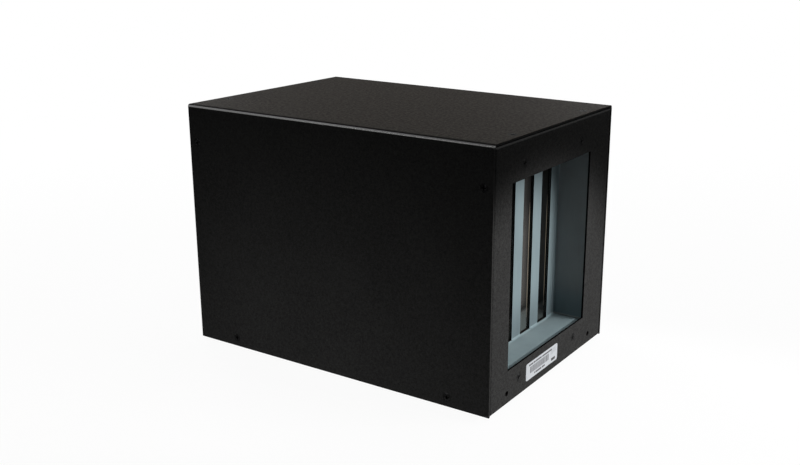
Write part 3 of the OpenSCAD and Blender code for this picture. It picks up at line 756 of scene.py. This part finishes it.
@dataclass(frozen=True)
class LabelFilm(Finish):
    """White label with plain printed bars and strips.

    Attributes:
        middle: Middle of the label's box.
        half: Half of its sizes.
        code: Where the bars lie: two spans, along Y and Z, as shares of half the label.
        upper: Where the upper strip lies.
        lower: Where the lower strip lies.
        speckled: Where the faint flecks lie.
        block: Where the solid block lies.
    """

    middle: Point
    half: Point
    code: Tuple[Span, Span] = ((-0.75, 0.42), (-0.34, 0.42))
    upper: Tuple[Span, Span] = ((-0.82, 0.62), (0.58, 0.76))
    lower: Tuple[Span, Span] = ((-0.48, 0.18), (-0.72, -0.54))
    speckled: Tuple[Span, Span] = ((0.55, 0.88), (0.10, 0.72))
    block: Tuple[Span, Span] = ((0.60, 0.85), (-0.74, -0.44))
    paper: Colour = (0.60, 0.625, 0.657)
    ink: Colour = (0.008, 0.008, 0.009)
    grey_ink: Colour = (0.070, 0.072, 0.080)
    rough: float = 0.42
    fibre: float = 0.35 * MM
    bar: float = 0.50 * MM
    gap: float = 1.6 * MM
    relief: float = 0.008 * MM

    def draw(self, g: Graph) -> None:
        """Bars of uneven width, broken strips above and below them, and flecks and a block at one end.

        Args:
            g: The graph to draw in.
        """
        p = g.point()
        _, y, z = g.axes(p)
        u, v = (y - self.middle[1]) / self.half[1], (z - self.middle[2]) / self.half[2]
        along = g.stretched(p, (0.0, 1.0, 0.0))
        fibre = g.noise(p, self.fibre, 2.0, 0.6)
        bars = g.noise(along, self.bar, 0.0, 0.5).rise(0.43, 0.45)
        breaks = g.noise(along, self.gap, 1.0, 0.5).rise(0.36, 0.40)
        code, upper, lower, speckled, block = [
            u.within(*wide, 0.01) * v.within(*tall, 0.02)
            for wide, tall in (self.code, self.upper, self.lower, self.speckled, self.block)
        ]
        flecks = fibre.rise(0.50, 0.56) * speckled
        printed = (bars * code * 0.85).most(upper.most(lower) * breaks).most(flecks * 0.4)
        g.surface(
            Base_Color=g.blend(block, g.blend(printed, self.paper, self.grey_ink), self.ink),
            Roughness=self.rough + (fibre - 0.5) * 0.2,
            Normal=g.bump(fibre, self.relief, 0.3),
        )


@dataclass(frozen=True)
class BoardMask(Finish):
    """Green board with tracks under its solder mask and rows of plated holes.

    Attributes:
        pitch: Distance between tracks.
        grid: Distance between holes.
        hole: Radius of a hole's plated ring.
        zone: Size of the areas whose tracks run one way.
        cluster: Size of the areas that have holes.
    """

    mask: Colour = (0.012, 0.085, 0.030)
    track: Colour = (0.030, 0.150, 0.055)
    plated: Colour = (0.62, 0.55, 0.38)
    rough: float = 0.30
    pitch: float = 1.0 * MM
    grid: float = 2.54 * MM
    hole: float = 0.5 * MM
    zone: float = 22 * MM
    cluster: float = 9 * MM
    relief: float = 0.03 * MM

    def draw(self, g: Graph) -> None:
        """Tracks run in bundles along X and Y, and the plated holes sit on a grid.

        Args:
            g: The graph to draw in.
        """
        p = g.point()
        x, y, _ = g.axes(p)
        zones = g.noise(p, self.zone, 0.0, 0.5).rise(0.49, 0.51)
        line_x, line_y = [
            (axis % self.pitch).within(0.35 * self.pitch, 0.65 * self.pitch, 0.05 * self.pitch)
            for axis in (x, y)
        ]
        tracks = line_x * zones + line_y * (1 - zones)
        cell_x, cell_y = [axis % self.grid - self.grid / 2 for axis in (x, y)]
        chosen = g.noise(p, self.cluster, 1.0, 0.5).rise(0.58, 0.60)
        holes = cell_x.hypot(cell_y).rise(1.1 * self.hole, 0.9 * self.hole) * chosen
        green = g.blend(tracks * 0.8, self.mask, self.track)
        g.surface(
            Base_Color=g.blend(holes, green, self.plated),
            Roughness=self.rough + holes * 0.1 + (1 - tracks) * 0.08,
            Metallic=holes * 0.9,
            Normal=g.bump(tracks + holes, self.relief, 0.5),
        )


@dataclass(frozen=True)
class CapSleeve(Finish):
    """Capacitor cans: dark sleeve with a pale stripe and a bare scored top."""

    middle: Point
    half: Point
    pitch: float = 12.0 * MM
    radius: float = 4.0 * MM
    sleeve: Colour = (0.020, 0.024, 0.055)
    stripe: Colour = (0.45, 0.46, 0.48)
    can: Colour = (0.62, 0.62, 0.63)
    rough: float = 0.34
    grain: float = 0.6 * MM
    relief: float = 0.01 * MM

    def draw(self, g: Graph) -> None:
        """The top shows bare metal, and a stripe runs up the side of each can that faces +Y.

        Args:
            g: The graph to draw in.
        """
        p = g.point()
        _, y, z = g.axes(p)
        own_y = (y - self.middle[1]) % self.pitch - self.pitch / 2
        facing = own_y.rise(0.86 * self.radius, 0.88 * self.radius)
        top_z = self.middle[2] + self.half[2]
        top = z.rise(top_z - 0.15 * MM, top_z - 0.1 * MM)
        grain = g.noise(p, self.grain, 2.0, 0.5)
        sleeve = g.blend(facing, self.sleeve, self.stripe)
        g.surface(
            Base_Color=g.blend(top, sleeve, self.can),
            Metallic=top,
            Roughness=self.rough + (grain - 0.5) * 0.2,
            Normal=g.bump(grain, self.relief, 0.3),
        )


@dataclass(frozen=True)
class LampLens(Finish):
    """Tinted clear lens of the lamp, unlit."""

    colour: Colour = (0.28, 0.66, 0.34)
    deep: float = 0.55
    cloud: float = 1.1 * MM
    relief: float = 0.01 * MM

    def draw(self, g: Graph) -> None:
        """Clouded clear plastic.

        Args:
            g: The graph to draw in.
        """
        cloud = g.noise(g.point(), self.cloud, 2.0, 0.5)
        deep = tuple(self.deep * c for c in self.colour)
        g.surface(
            Base_Color=g.blend(cloud.rise(0.3, 0.7), self.colour, deep),
            Roughness=0.12 + cloud * 0.12,
            Transmission_Weight=0.55,
            IOR=1.49,
            Normal=g.bump(cloud, self.relief, 0.3),
        )


@dataclass(frozen=True)
class Shape:
    """A mesh as arrays: points and four-sided faces."""

    points: np.ndarray
    faces: np.ndarray

    @staticmethod
    def strips(sizes: Span, sides: Tuple[Axis, Axis], path: np.ndarray, places: np.ndarray) -> "Shape":
        """Rectangle carried along a path, repeated at many places.

        A point is its place, plus the path's point, plus or minus half of each of the rectangle's
        sizes along its two sides. The rings of four points are joined by a wrapped grid of faces, and
        a face closes each end.

        Args:
            sizes: The rectangle's two sizes.
            sides: The axes that they lie along; first cross second points along the path.
            path: Points as (n, 3).
            places: Offsets of the copies as (m, 3).

        Returns:
            All the copies as one shape.
        """
        corners = np.array([[-1, -1], [1, -1], [1, 1], [-1, 1]]) * np.array(sizes) / 2
        ring = path[:, None, :] + corners @ np.eye(3)[[side.value for side in sides]]
        n = len(path)
        points = places[:, None, None, :] + ring[None]
        row, col = np.meshgrid(np.arange(n - 1), np.arange(4), indexing="ij")
        after = (col + 1) % 4
        walls = np.stack([row * 4 + col, row * 4 + after, (row + 1) * 4 + after, (row + 1) * 4 + col], -1)
        ends = np.array([[3, 2, 1, 0], [4 * n - 4, 4 * n - 3, 4 * n - 2, 4 * n - 1]])
        one = np.concatenate([walls.reshape(-1, 4), ends])
        faces = one[None] + (np.arange(len(places)) * 4 * n)[:, None, None]
        return Shape(points.reshape(-1, 3), faces.reshape(-1, 4))

    def piece(self, name: str, finish: bpy.types.Material, slot: str, body: str = BODY) -> bpy.types.Object:
        """Makes the shape an object that rides on a body.

        Args:
            name: Name of the piece.
            finish: Its material.
            slot: Name of one of the record's material slots; not used.
            body: The body that it rides on.

        Returns:
            The new object.
        """
        mesh = bpy.data.meshes.new(name)
        mesh.from_pydata(self.points.tolist(), [], self.faces.tolist())
        mesh.materials.append(finish)
        made = bpy.data.objects.new(name, mesh)
        bpy.context.scene.collection.objects.link(made)
        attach(made, body)
        LOG.info("%s: %d faces", name, len(self.faces))
        return made


def numbered(stem: str, count: int = 4) -> List[str]:
    """Names of alike nodes that end in a number."""
    return [f"{stem}_{i}" for i in range(1, count + 1)]


def evenly(count: int, pitch: float) -> np.ndarray:
    """Places in a row, a pitch apart, about zero."""
    return (np.arange(count) - (count - 1) / 2) * pitch


def recess() -> Box:
    """Lowest and highest corner of the room in front of the slot covers."""
    return frame["record"]["physics"]["openings"][0]["box_m"]


def middle_and_half(node: str) -> Tuple[Point, Point]:
    """Middle of a node's box and half of its sizes."""
    low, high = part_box(node)
    return tuple((low + high) / 2), tuple((high - low) / 2)


class SubAssembly:
    """Nodes of the box that get their finishes together, with the contacts that the solids leave out."""

    def dress(self) -> None:
        """Puts the finishes on the nodes."""
        raise NotImplementedError

    def contacts(self) -> None:
        """Adds the contacts, where there are any."""

    def build(self) -> None:
        """Finishes first, then contacts."""
        self.dress()
        self.contacts()


@dataclass
class Shell(SubAssembly):
    """Cover, end panels, tray, feet, label and the screws that hold the sheets."""

    black_screws: Sequence[str] = ("cover_screws", "slot_bay_screws", "panel_screws", "fan_screws")
    panel_shine: float = 0.07
    panel_contrast: float = 1.7

    def dress(self) -> None:
        """Gives the sheets their coat, and the small parts their finishes."""
        panel = (Axis.X, self.panel_shine, self.panel_contrast)
        for coat in (
            PowderCoat("cover_coat", *middle_and_half("cover"), Axis.Y, fold_shine=1.0, fade=0.45),
            PowderCoat("front_panel_coat", *middle_and_half("front_panel"), *panel, cut_out=recess()),
            PowderCoat("rear_panel_coat", *middle_and_half("rear_panel"), *panel),
            PowderCoat("base_tray_coat", *middle_and_half("base_tray"), Axis.Y, fold_shine=0.0),
        ):
            coat.dress(coat.name.removesuffix("_coat"))
        cover, front, rear, tray = (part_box(n) for n in ("cover", "front_panel", "rear_panel", "base_tray"))
        low = (rear[0].x, cover[0].y, tray[0].z)
        high = (front[1].x, cover[1].y, cover[1].z)
        BlackOxide("black_oxide", low, high).dress(*self.black_screws)
        rubber = Moulding("foot_rubber", grey(0.014), grey(0.022), rough=0.72, grain=0.8 * MM)
        rubber.dress(*numbered("foot"))
        LabelFilm("label_film", *middle_and_half("label")).dress("label")


@dataclass
class SlotBay(SubAssembly):
    """Recessed bay, its slot covers and their screws."""

    sheet: float = 1.2 * MM
    plate: float = 0.9 * MM
    # Painted reflection on each slot cover; the fourth is paler above.
    painted_reflections: Sequence[PaintedReflection] = (PaintedReflection.THICK_ABOVE, PaintedReflection.THICK_ABOVE, PaintedReflection.THICK_ABOVE, PaintedReflection.THIN_ABOVE)

    def dress(self) -> None:
        """Matt coat on the bay with painted shade and painted light, and bright plating with a painted
        reflection on the slot covers.
        """
        face_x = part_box("slot_cover_1")[0].x + self.plate + self.sheet
        BayCoat("bay_coat", face_x, self.sheet, recess()).dress("slot_bay")
        for node, painted_reflection in zip(numbered("slot_cover"), self.painted_reflections):
            BrightPlate(f"{node}_plating", *middle_and_half(node), painted_reflection).dress(node)
        PLATED_STEEL.dress("slot_cover_screws", "board_screws")


@dataclass
class Backplane(SubAssembly):
    """Board inside the box, with what stands on it.

    Attributes:
        count: Contacts in a row, before those in the key's web are left out.
        pitch: Distance between them.
        width: Width of a contact.
        leaf: Thickness of a contact.
        groove: Width of a connector's groove.
        key: Place of the key's web along the connector.
        key_room: Half of the room that it takes.
        sink: How far the contacts start below the connector's top.
        drop: How far down they reach from there.
        bow: How far they bow towards the card.
        steps: Points along a contact.
    """

    count: int = 60
    pitch: float = 1.27 * MM
    width: float = 0.6 * MM
    leaf: float = 0.16 * MM
    groove: float = 1.9 * MM
    key: float = -27.6 * MM
    key_room: float = 1.2 * MM
    sink: float = 0.4 * MM
    drop: float = 6.0 * MM
    bow: float = 0.55 * MM
    steps: int = 7

    def dress(self) -> None:
        """Board, connectors, chip, capacitors and standoffs."""
        BoardMask("board_mask").dress("backplane_board")
        ivory = Moulding("ivory_plastic", (0.76, 0.71, 0.58), (0.70, 0.65, 0.52), rough=0.45)
        ivory.dress(*numbered("pci_slot"), "fan_header")
        chip = Moulding("chip_compound", (0.026, 0.026, 0.027), grey(0.034), rough=0.6, grain=0.3 * MM)
        chip.dress("bridge_chip")
        CapSleeve("cap_sleeve", *middle_and_half("capacitors")).dress("capacitors")
        BRASS.dress("board_standoffs", "switch_terminals")

    def contacts(self) -> None:
        """Two rows of sprung leaves in each connector, with none in the web of its key.

        A leaf's path is half a wave: it drops into the groove along the wall, bows towards the card
        and returns to the wall.
        """
        gold = GOLD.material()
        t = np.linspace(0.0, 1.0, self.steps)
        places = evenly(self.count, self.pitch)
        places = places[np.abs(places - self.key) > self.key_room]
        wall = self.groove / 2 - self.leaf
        for number, node in enumerate(numbered("pci_slot"), 1):
            low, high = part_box(node)
            middle = (low + high) / 2
            where = np.stack([places + middle.x, 0 * places, 0 * places], -1)
            for row, way in (("a", 1.0), ("b", -1.0)):
                offset = way * (wall - self.bow * np.sin(np.pi * t))
                path = np.stack([0 * t, middle.y + offset, high.z - self.sink - self.drop * t], -1)
                leaves = Shape.strips((self.leaf, self.width), (Axis.Y, Axis.X), path, where)
                leaves.piece(f"card_contacts_{number}{row}", gold, "brass")


@dataclass
class Fan(SubAssembly):
    """Cooling fan behind the grille."""

    def dress(self) -> None:
        """Black mouldings and copper windings."""
        Moulding("fan_plastic", (0.016, 0.016, 0.0165), grey(0.024), rough=0.46).dress("fan_frame")
        Moulding("rotor_plastic", (0.022, 0.022, 0.023), grey(0.030), rough=0.38).dress("fan_rotor")
        bright, brown = (0.70, 0.30, 0.14), (0.48, 0.19, 0.09)
        Metal("copper_windings", bright, brown, rough=0.32, grain=0.3 * MM).dress("fan_stator")


@dataclass
class RearPorts(SubAssembly):
    """Switch, lamp, power inlet and link socket in the rear end.

    Attributes:
        pairs: Strips on each face of the link socket's blade.
        pitch: Distance between them.
        width: Width of a strip.
        leaf: Thickness of a strip.
        blade: Half of the blade's thickness.
        run: Where the points of a strip lie along the blade, from its front.
    """

    pairs: int = 18
    pitch: float = 1.25 * MM
    width: float = 0.7 * MM
    leaf: float = 0.12 * MM
    blade: float = 1.2 * MM
    run: Sequence[float] = (0.7 * MM, 1.0 * MM, 1.6 * MM, 4.0 * MM, 7.0 * MM, 10.0 * MM)

    def dress(self) -> None:
        """Black mouldings, plated shells, marked rocker and tinted lamp."""
        black = Moulding("black_plastic", grey(0.014), grey(0.020), rough=0.42)
        black.dress("dc_jack", "link_insert", "switch_body")
        middle, _ = middle_and_half("switch_rocker")
        rocker = RockerPlastic("rocker_plastic", grey(0.018), grey(0.023), rough=0.26, middle=middle)
        rocker.dress("switch_rocker")
        PLATED_STEEL.dress("link_shell", "dc_jack_pin")
        LampLens("lamp_lens").dress("power_led")

    def contacts(self) -> None:
        """Gold strips on both faces of the link socket's blade, with rounded-off front ends.

        A strip's path runs straight along the blade and dips to the blade's face at its front.
        """
        gold = GOLD.material()
        low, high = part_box("link_insert")
        shell_low, shell_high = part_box("link_shell")
        middle_z = (shell_low.z + shell_high.z) / 2
        t = np.linspace(0.0, 1.0, len(self.run))
        lift = self.leaf * (np.minimum(1.0, 4 * t) - 0.5)
        places = evenly(self.pairs, self.pitch)
        where = np.stack([0 * places, places + (low.y + high.y) / 2, 0 * places], -1)
        for row, way in (("top", 1.0), ("bottom", -1.0)):
            path = np.stack([low.x + np.array(self.run), 0 * t, middle_z + way * (self.blade + lift)], -1)
            strips = Shape.strips((self.width, self.leaf), (Axis.Y, Axis.Z), path, where)
            strips.piece(f"link_contacts_{row}", gold, "brass")


@dataclass(frozen=True)
class Lamp:
    """A lamp that points at the box. Its level is the light on a face turned to it, 1 for plain white."""

    name: str
    place: Point
    level: float
    aim: Point = (0.0, 0.0, 0.08)

    def light(self, distance: float) -> bpy.types.Light:
        """Makes the light that gives the level at a distance."""
        raise NotImplementedError

    def build(self) -> None:
        """Puts the light in its place and turns it to its aim."""
        away = Vector(self.place) - Vector(self.aim)
        turn = away.to_track_quat("Z", "Y").to_matrix().to_4x4()
        made = bpy.data.objects.new(self.name, self.light(away.length))
        made.matrix_world = Matrix.Translation(self.place) @ turn
        bpy.context.scene.collection.objects.link(made)


@dataclass(frozen=True)
class Softbox(Lamp):
    """A square lamp, with a grid in front of it when its spread is below 180 degrees."""

    size: float = 0.6
    spread: float = 180.0

    def light(self, distance: float) -> bpy.types.Light:
        """Square light; a grid gathers its power on the axis, and the energy allows for that.

        Args:
            distance: Distance from the lamp to its aim.

        Returns:
            The light.
        """
        lamp = bpy.data.lights.new(self.name, "AREA")
        lamp.shape = "SQUARE"
        lamp.size, lamp.spread = self.size, math.radians(self.spread)
        half = lamp.spread / 2
        lamp.energy = self.level * (1 - half / math.tan(half)) * (math.pi * distance) ** 2
        return lamp


@dataclass(frozen=True)
class Beam(Lamp):
    """A small lamp behind a lens, which throws a round pool of light with a soft edge."""

    pool: float = 0.155
    blend: float = 0.46
    size: float = 0.01

    @classmethod
    def row(cls, name: str, count: int, first: Point, step: float, level: float, aim: Point) -> List[Lamp]:
        """Beams side by side along Y, all with one aim.

        Args:
            name: Start of their names.
            count: How many there are.
            first: Place of the first.
            step: Distance between them.
            level: Level of each.
            aim: Where they point.

        Returns:
            The beams.
        """
        x, y, z = first
        return [cls(f"{name}_{i}", (x, y + step * i, z), level, aim) for i in range(count)]

    def light(self, distance: float) -> bpy.types.Light:
        """Light in a cone that is as wide as the pool at a distance.

        Args:
            distance: Distance from the lamp to its aim.

        Returns:
            The light.
        """
        lamp = bpy.data.lights.new(self.name, "SPOT")
        lamp.spot_size, lamp.spot_blend = 2 * math.atan(self.pool / distance), self.blend
        lamp.shadow_soft_size = self.size
        lamp.energy = self.level * (2 * math.pi * distance) ** 2
        return lamp


@dataclass
class Studio:
    """White floor and surroundings, and the lamps.

    Attributes:
        reach: Half of the floor's width.
        bounce: Share of the light that the floor throws back at the box.
        seen: Share of plain white in the floor under the box; the rest takes shadows.
        clear: Distances over which the floor turns plain white.
        fill: Strength of the even light from all round.
    """

    reach: float = 8.0
    bounce: float = 0.12
    seen: float = 0.95
    clear: Span = (0.3, 1.0)
    fill: float = 0.03
    lamps: Sequence[Lamp] = (
        *Beam.row("end_beam", 5, (0.85, 0.07, 0.33), 0.10, level=0.192, aim=(0.1155, -0.035, -0.005)),
        Softbox("front_top_light", (0.36, 0.30, 1.00), level=0.21, size=0.40),
        Softbox("top_light", (-0.35, -0.06, 1.15), level=0.10, size=0.80),
        Softbox("rear_light", (-1.00, 0.45, 0.45), level=0.45),
        Softbox("far_side_light", (-0.10, 1.10, 0.40), level=0.40),
        Softbox("long_side_light", (-0.40, -0.90, 0.14), 0.64, (0.0, -0.08, -0.06), size=0.25, spread=26.0),
    )

    @staticmethod
    def plain_sight(g: Graph) -> Wire:
        """Tells the rays that see the white surroundings from the others.

        Args:
            g: The graph to draw in.

        Returns:
            1 for those rays and 0 for the others.
        """
        node = g.add("ShaderNodeLightPath").socket.node
        camera, glossy, clear = [Wire(g, node.outputs[ray.value]) for ray in Ray]
        return camera.most(glossy).most(clear)

    def build(self) -> None:
        """Floor, world and lamps."""
        self.floor()
        self.surroundings()
        for lamp in self.lamps:
            lamp.build()

    def floor(self) -> None:
        """Flat floor: white to the eye, with part of its light left to the lamps so that shadows show."""
        corners = np.array([[-1, -1, 0], [1, -1, 0], [1, 1, 0], [-1, 1, 0]]) * self.reach
        mesh = bpy.data.meshes.new("floor")
        mesh.from_pydata(corners.tolist(), [], [[0, 1, 2, 3]])
        made = bpy.data.objects.new("floor", mesh)
        bpy.context.scene.collection.objects.link(made)
        paint = bpy.data.materials.new("pale_floor")
        paint.use_nodes = True
        g = Graph(paint.node_tree)
        sight = self.plain_sight(g)
        away = g.add("ShaderNodeVectorMath", {"operation": "LENGTH"}, {0: g.point()}, "Value")
        tone = g.blend(sight, grey(self.bounce), grey(1.0))
        matt = g.add("ShaderNodeBsdfDiffuse", {}, {"Color": tone})
        white = g.add("ShaderNodeEmission", {}, {"Color": WHITE, "Strength": 1.0})
        share = sight * (self.seen + away.rise(*self.clear) * (1 - self.seen))
        both = g.add("ShaderNodeMixShader", {}, {0: share, 1: matt, 2: white})
        g.add("ShaderNodeOutputMaterial", {}, {"Surface": both})
        mesh.materials.append(paint)

    def surroundings(self) -> None:
        """World: white where it is seen, and a weak even fill otherwise."""
        world = bpy.data.worlds.new("studio")
        world.use_nodes = True
        g = Graph(world.node_tree)
        weak = g.add("ShaderNodeBackground", {}, {"Color": WHITE, "Strength": self.fill})
        white = g.add("ShaderNodeBackground", {}, {"Color": WHITE, "Strength": 1.0})
        both = g.add("ShaderNodeMixShader", {}, {0: self.plain_sight(g), 1: weak, 2: white})
        g.add("ShaderNodeOutputWorld", {}, {"Surface": both})
        bpy.context.scene.world = world


@dataclass(frozen=True)
class Viewpoint:
    """Camera of the photograph. Its angles are in degrees, and its lens and sensor in millimetres."""

    place: Point = (0.38087, -0.54595, 0.27603)
    azimuth: float = 32.019
    elevation: float = 16.658
    roll: float = 0.519
    lens: float = 46.216
    sensor: float = 36.0
    shift: float = -0.06234
    clip: Span = (0.01, 50.0)

    def build(self) -> None:
        """Makes the camera: its right and up are turned from level by the roll."""
        a, e, r = (math.radians(v) for v in (self.azimuth, self.elevation, self.roll))
        ahead = np.array([-math.sin(a) * math.cos(e), math.cos(a) * math.cos(e), -math.sin(e)])
        level = np.array([math.cos(a), math.sin(a), 0.0])
        upright = np.cross(level, ahead)
        right = level * math.cos(r) + upright * math.sin(r)
        up = upright * math.cos(r) - level * math.sin(r)
        matrix = np.eye(4)
        matrix[:3, :4] = np.stack([right, up, -ahead, np.array(self.place)], -1)
        data = bpy.data.cameras.new("photo_camera")
        data.lens, data.sensor_width, data.shift_x = self.lens, self.sensor, self.shift
        data.clip_start, data.clip_end = self.clip
        made = bpy.data.objects.new("photo_camera", data)
        made.matrix_world = Matrix(matrix.tolist())
        bpy.context.scene.collection.objects.link(made)
        bpy.context.scene.camera = made


def main() -> None:
    """Builds the stage, the sub-assemblies and the camera in order."""
    logging.basicConfig(level=logging.INFO, format="%(name)s %(message)s")
    bpy.context.scene.view_settings.view_transform = "Standard"
    Viewpoint().build()
    Studio().build()
    for part in (Shell(), SlotBay(), Backplane(), Fan(), RearPorts()):
        part.build()


if __name__ == "__main__":
    main()
